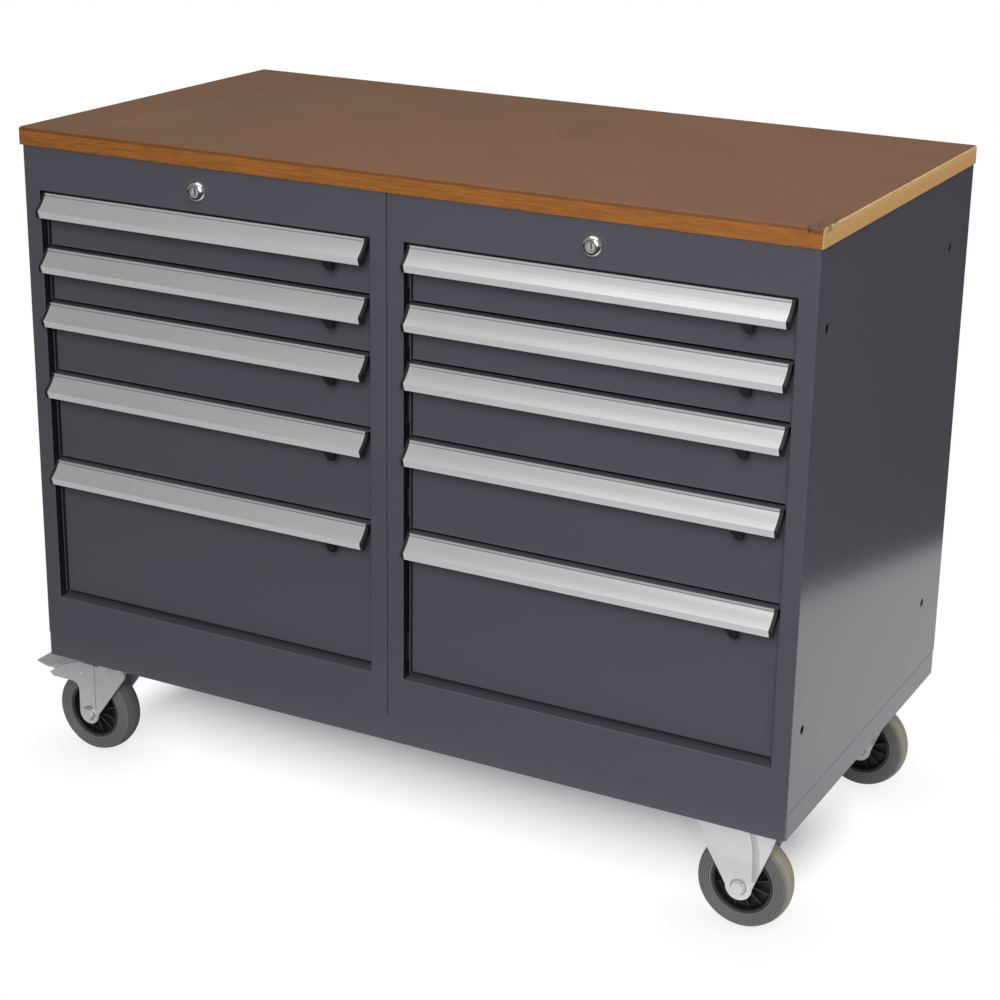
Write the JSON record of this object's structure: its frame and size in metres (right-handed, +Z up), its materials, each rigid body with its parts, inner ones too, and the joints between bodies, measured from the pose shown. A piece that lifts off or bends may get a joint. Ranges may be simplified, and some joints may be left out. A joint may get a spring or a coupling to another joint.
{
  "type": "mobile workbench",
  "caption": "Mobile workbench: drawer cabinets with full-width aluminium handles and locks under a wooden worktop, on a plinth with fixed and braked swivel castors.",
  "frame": {"origin": "on the floor under the middle of the outline", "axes": "+X to the right along the front, the drawers open towards -Y, +Z up"},
  "size_m": [1.1752, 0.5946, 0.9175],
  "materials": {
    "wood": "oiled multiplex board with a smooth brown face",
    "cabinet_paint": "dark blue-grey powder coat, satin",
    "aluminium": "satin anodised",
    "latch_plastic": "dark plastic",
    "zinc_steel": "zinc plated",
    "chrome": "polished",
    "tyre": "dark solid rubber on a black ribbed rim"
  },
  "bodies": {
    "bench": {"worktop": "wood", "cabinet_left": "cabinet_paint", "cabinet_right": "cabinet_paint", "plinth": "cabinet_paint", "slide_rails": "zinc_steel", "lock_collars": "chrome", "castor_brackets": "zinc_steel", "castor_swivel_plates": "zinc_steel"},
    "drawer_left_1": {"drawer_left_1": "cabinet_paint", "handle_left_1": "aluminium"},
    "slide_middle_left_1": {"slide_middle_left_1": "zinc_steel"},
    "latch_left_1": {"latch_left_1": "latch_plastic"},
    "drawer_left_2": {"drawer_left_2": "cabinet_paint", "handle_left_2": "aluminium"},
    "slide_middle_left_2": {"slide_middle_left_2": "zinc_steel"},
    "latch_left_2": {"latch_left_2": "latch_plastic"},
    "drawer_left_3": {"drawer_left_3": "cabinet_paint", "handle_left_3": "aluminium"},
    "slide_middle_left_3": {"slide_middle_left_3": "zinc_steel"},
    "latch_left_3": {"latch_left_3": "latch_plastic"},
    "drawer_left_4": {"drawer_left_4": "cabinet_paint", "handle_left_4": "aluminium"},
    "slide_middle_left_4": {"slide_middle_left_4": "zinc_steel"},
    "latch_left_4": {"latch_left_4": "latch_plastic"},
    "drawer_left_5": {"drawer_left_5": "cabinet_paint", "handle_left_5": "aluminium"},
    "slide_middle_left_5": {"slide_middle_left_5": "zinc_steel"},
    "latch_left_5": {"latch_left_5": "latch_plastic"},
    "lock_core_left": {"lock_core_left": "chrome"},
    "lock_bar_left": {"lock_bar_left": "zinc_steel"},
    "drawer_right_1": {"drawer_right_1": "cabinet_paint", "handle_right_1": "aluminium"},
    "slide_middle_right_1": {"slide_middle_right_1": "zinc_steel"},
    "latch_right_1": {"latch_right_1": "latch_plastic"},
    "drawer_right_2": {"drawer_right_2": "cabinet_paint", "handle_right_2": "aluminium"},
    "slide_middle_right_2": {"slide_middle_right_2": "zinc_steel"},
    "latch_right_2": {"latch_right_2": "latch_plastic"},
    "drawer_right_3": {"drawer_right_3": "cabinet_paint", "handle_right_3": "aluminium"},
    "slide_middle_right_3": {"slide_middle_right_3": "zinc_steel"},
    "latch_right_3": {"latch_right_3": "latch_plastic"},
    "drawer_right_4": {"drawer_right_4": "cabinet_paint", "handle_right_4": "aluminium"},
    "slide_middle_right_4": {"slide_middle_right_4": "zinc_steel"},
    "latch_right_4": {"latch_right_4": "latch_plastic"},
    "drawer_right_5": {"drawer_right_5": "cabinet_paint", "handle_right_5": "aluminium"},
    "slide_middle_right_5": {"slide_middle_right_5": "zinc_steel"},
    "latch_right_5": {"latch_right_5": "latch_plastic"},
    "lock_core_right": {"lock_core_right": "chrome"},
    "lock_bar_right": {"lock_bar_right": "zinc_steel"},
    "fork_front_left": {"fork_front_left": "zinc_steel"},
    "brake_pedal_front_left": {"brake_pedal_front_left": "zinc_steel"},
    "wheel_front_left": {"wheel_front_left": "tyre"},
    "fork_rear_left": {"fork_rear_left": "zinc_steel"},
    "brake_pedal_rear_left": {"brake_pedal_rear_left": "zinc_steel"},
    "wheel_rear_left": {"wheel_rear_left": "tyre"},
    "wheel_front_right": {"wheel_front_right": "tyre"},
    "wheel_rear_right": {"wheel_rear_right": "tyre"}
  },
  "joints": [
    {"name": "drawer_left_1_slide", "type": "slide", "parent": "bench", "child": "drawer_left_1", "axis": [0, -1, 0], "range_m": [0, 0.5]},
    {"name": "slide_middle_left_1_slide", "type": "slide", "parent": "bench", "child": "slide_middle_left_1", "axis": [0, -1, 0], "range_m": [0, 0.25]},
    {"name": "latch_left_1_slide", "type": "slide", "parent": "drawer_left_1", "child": "latch_left_1", "axis": [-1, 0, 0], "range_m": [0, 0.008], "stiffness_N_per_m": 150, "springref_m": -0.001},
    {"name": "drawer_left_2_slide", "type": "slide", "parent": "bench", "child": "drawer_left_2", "axis": [0, -1, 0], "range_m": [0, 0.5]},
    {"name": "slide_middle_left_2_slide", "type": "slide", "parent": "bench", "child": "slide_middle_left_2", "axis": [0, -1, 0], "range_m": [0, 0.25]},
    {"name": "latch_left_2_slide", "type": "slide", "parent": "drawer_left_2", "child": "latch_left_2", "axis": [-1, 0, 0], "range_m": [0, 0.008], "stiffness_N_per_m": 150, "springref_m": -0.001},
    {"name": "drawer_left_3_slide", "type": "slide", "parent": "bench", "child": "drawer_left_3", "axis": [0, -1, 0], "range_m": [0, 0.5]},
    {"name": "slide_middle_left_3_slide", "type": "slide", "parent": "bench", "child": "slide_middle_left_3", "axis": [0, -1, 0], "range_m": [0, 0.25]},
    {"name": "latch_left_3_slide", "type": "slide", "parent": "drawer_left_3", "child": "latch_left_3", "axis": [-1, 0, 0], "range_m": [0, 0.008], "stiffness_N_per_m": 150, "springref_m": -0.001},
    {"name": "drawer_left_4_slide", "type": "slide", "parent": "bench", "child": "drawer_left_4", "axis": [0, -1, 0], "range_m": [0, 0.5]},
    {"name": "slide_middle_left_4_slide", "type": "slide", "parent": "bench", "child": "slide_middle_left_4", "axis": [0, -1, 0], "range_m": [0, 0.25]},
    {"name": "latch_left_4_slide", "type": "slide", "parent": "drawer_left_4", "child": "latch_left_4", "axis": [-1, 0, 0], "range_m": [0, 0.008], "stiffness_N_per_m": 150, "springref_m": -0.001},
    {"name": "drawer_left_5_slide", "type": "slide", "parent": "bench", "child": "drawer_left_5", "axis": [0, -1, 0], "range_m": [0, 0.5]},
    {"name": "slide_middle_left_5_slide", "type": "slide", "parent": "bench", "child": "slide_middle_left_5", "axis": [0, -1, 0], "range_m": [0, 0.25]},
    {"name": "latch_left_5_slide", "type": "slide", "parent": "drawer_left_5", "child": "latch_left_5", "axis": [-1, 0, 0], "range_m": [0, 0.008], "stiffness_N_per_m": 150, "springref_m": -0.001},
    {"name": "lock_left_turn", "type": "hinge", "parent": "bench", "child": "lock_core_left", "pos_m": [-0.2606, -0.27985, 0.862], "axis": [0, 1, 0], "range_deg": [0, 90]},
    {"name": "lock_bar_left_lift", "type": "slide", "parent": "bench", "child": "lock_bar_left", "axis": [0, 0, 1], "range_m": [0, 0.008]},
    {"name": "drawer_right_1_slide", "type": "slide", "parent": "bench", "child": "drawer_right_1", "axis": [0, -1, 0], "range_m": [0, 0.5]},
    {"name": "slide_middle_right_1_slide", "type": "slide", "parent": "bench", "child": "slide_middle_right_1", "axis": [0, -1, 0], "range_m": [0, 0.25]},
    {"name": "latch_right_1_slide", "type": "slide", "parent": "drawer_right_1", "child": "latch_right_1", "axis": [-1, 0, 0], "range_m": [0, 0.008], "stiffness_N_per_m": 150, "springref_m": -0.001},
    {"name": "drawer_right_2_slide", "type": "slide", "parent": "bench", "child": "drawer_right_2", "axis": [0, -1, 0], "range_m": [0, 0.5]},
    {"name": "slide_middle_right_2_slide", "type": "slide", "parent": "bench", "child": "slide_middle_right_2", "axis": [0, -1, 0], "range_m": [0, 0.25]},
    {"name": "latch_right_2_slide", "type": "slide", "parent": "drawer_right_2", "child": "latch_right_2", "axis": [-1, 0, 0], "range_m": [0, 0.008], "stiffness_N_per_m": 150, "springref_m": -0.001},
    {"name": "drawer_right_3_slide", "type": "slide", "parent": "bench", "child": "drawer_right_3", "axis": [0, -1, 0], "range_m": [0, 0.5]},
    {"name": "slide_middle_right_3_slide", "type": "slide", "parent": "bench", "child": "slide_middle_right_3", "axis": [0, -1, 0], "range_m": [0, 0.25]},
    {"name": "latch_right_3_slide", "type": "slide", "parent": "drawer_right_3", "child": "latch_right_3", "axis": [-1, 0, 0], "range_m": [0, 0.008], "stiffness_N_per_m": 150, "springref_m": -0.001},
    {"name": "drawer_right_4_slide", "type": "slide", "parent": "bench", "child": "drawer_right_4", "axis": [0, -1, 0], "range_m": [0, 0.5]},
    {"name": "slide_middle_right_4_slide", "type": "slide", "parent": "bench", "child": "slide_middle_right_4", "axis": [0, -1, 0], "range_m": [0, 0.25]},
    {"name": "latch_right_4_slide", "type": "slide", "parent": "drawer_right_4", "child": "latch_right_4", "axis": [-1, 0, 0], "range_m": [0, 0.008], "stiffness_N_per_m": 150, "springref_m": -0.001},
    {"name": "drawer_right_5_slide", "type": "slide", "parent": "bench", "child": "drawer_right_5", "axis": [0, -1, 0], "range_m": [0, 0.5]},
    {"name": "slide_middle_right_5_slide", "type": "slide", "parent": "bench", "child": "slide_middle_right_5", "axis": [0, -1, 0], "range_m": [0, 0.25]},
    {"name": "latch_right_5_slide", "type": "slide", "parent": "drawer_right_5", "child": "latch_right_5", "axis": [-1, 0, 0], "range_m": [0, 0.008], "stiffness_N_per_m": 150, "springref_m": -0.001},
    {"name": "lock_right_turn", "type": "hinge", "parent": "bench", "child": "lock_core_right", "pos_m": [0.3034, -0.27985, 0.862], "axis": [0, 1, 0], "range_deg": [0, 90]},
    {"name": "lock_bar_right_lift", "type": "slide", "parent": "bench", "child": "lock_bar_right", "axis": [0, 0, 1], "range_m": [0, 0.008]},
    {"name": "swivel_front_left", "type": "hinge", "parent": "bench", "child": "fork_front_left", "pos_m": [-0.4576, -0.22985, 0.14], "axis": [0, 0, 1], "continuous": true},
    {"name": "brake_front_left", "type": "hinge", "parent": "fork_front_left", "child": "brake_pedal_front_left", "pos_m": [-0.509, -0.22985, 0.1206], "axis": [0, -1, 0], "range_deg": [0, 8]},
    {"name": "spin_front_left", "type": "hinge", "parent": "fork_front_left", "child": "wheel_front_left", "pos_m": [-0.4956, -0.22985, 0.0625], "axis": [0, 1, 0], "continuous": true},
    {"name": "swivel_rear_left", "type": "hinge", "parent": "bench", "child": "fork_rear_left", "pos_m": [-0.4576, 0.21515, 0.14], "axis": [0, 0, 1], "continuous": true},
    {"name": "brake_rear_left", "type": "hinge", "parent": "fork_rear_left", "child": "brake_pedal_rear_left", "pos_m": [-0.509, 0.21515, 0.1206], "axis": [0, -1, 0], "range_deg": [0, 8]},
    {"name": "spin_rear_left", "type": "hinge", "parent": "fork_rear_left", "child": "wheel_rear_left", "pos_m": [-0.4956, 0.21515, 0.0625], "axis": [0, 1, 0], "continuous": true},
    {"name": "spin_front_right", "type": "hinge", "parent": "bench", "child": "wheel_front_right", "pos_m": [0.5184, -0.22985, 0.0625], "axis": [0, 1, 0], "continuous": true},
    {"name": "spin_rear_right", "type": "hinge", "parent": "bench", "child": "wheel_rear_right", "pos_m": [0.5184, 0.21515, 0.0625], "axis": [0, 1, 0], "continuous": true}
  ],
  "couplings": [
    {"joint": "slide_middle_left_1_slide", "follows": "drawer_left_1_slide", "ratio": 0.5},
    {"joint": "slide_middle_left_2_slide", "follows": "drawer_left_2_slide", "ratio": 0.5},
    {"joint": "slide_middle_left_3_slide", "follows": "drawer_left_3_slide", "ratio": 0.5},
    {"joint": "slide_middle_left_4_slide", "follows": "drawer_left_4_slide", "ratio": 0.5},
    {"joint": "slide_middle_left_5_slide", "follows": "drawer_left_5_slide", "ratio": 0.5},
    {"joint": "slide_middle_right_1_slide", "follows": "drawer_right_1_slide", "ratio": 0.5},
    {"joint": "slide_middle_right_2_slide", "follows": "drawer_right_2_slide", "ratio": 0.5},
    {"joint": "slide_middle_right_3_slide", "follows": "drawer_right_3_slide", "ratio": 0.5},
    {"joint": "slide_middle_right_4_slide", "follows": "drawer_right_4_slide", "ratio": 0.5},
    {"joint": "slide_middle_right_5_slide", "follows": "drawer_right_5_slide", "ratio": 0.5},
    {"joint": "lock_left_turn", "follows": "lock_bar_left_lift", "rad_per_m": 196.35},
    {"joint": "lock_right_turn", "follows": "lock_bar_right_lift", "rad_per_m": 196.35}
  ]
}
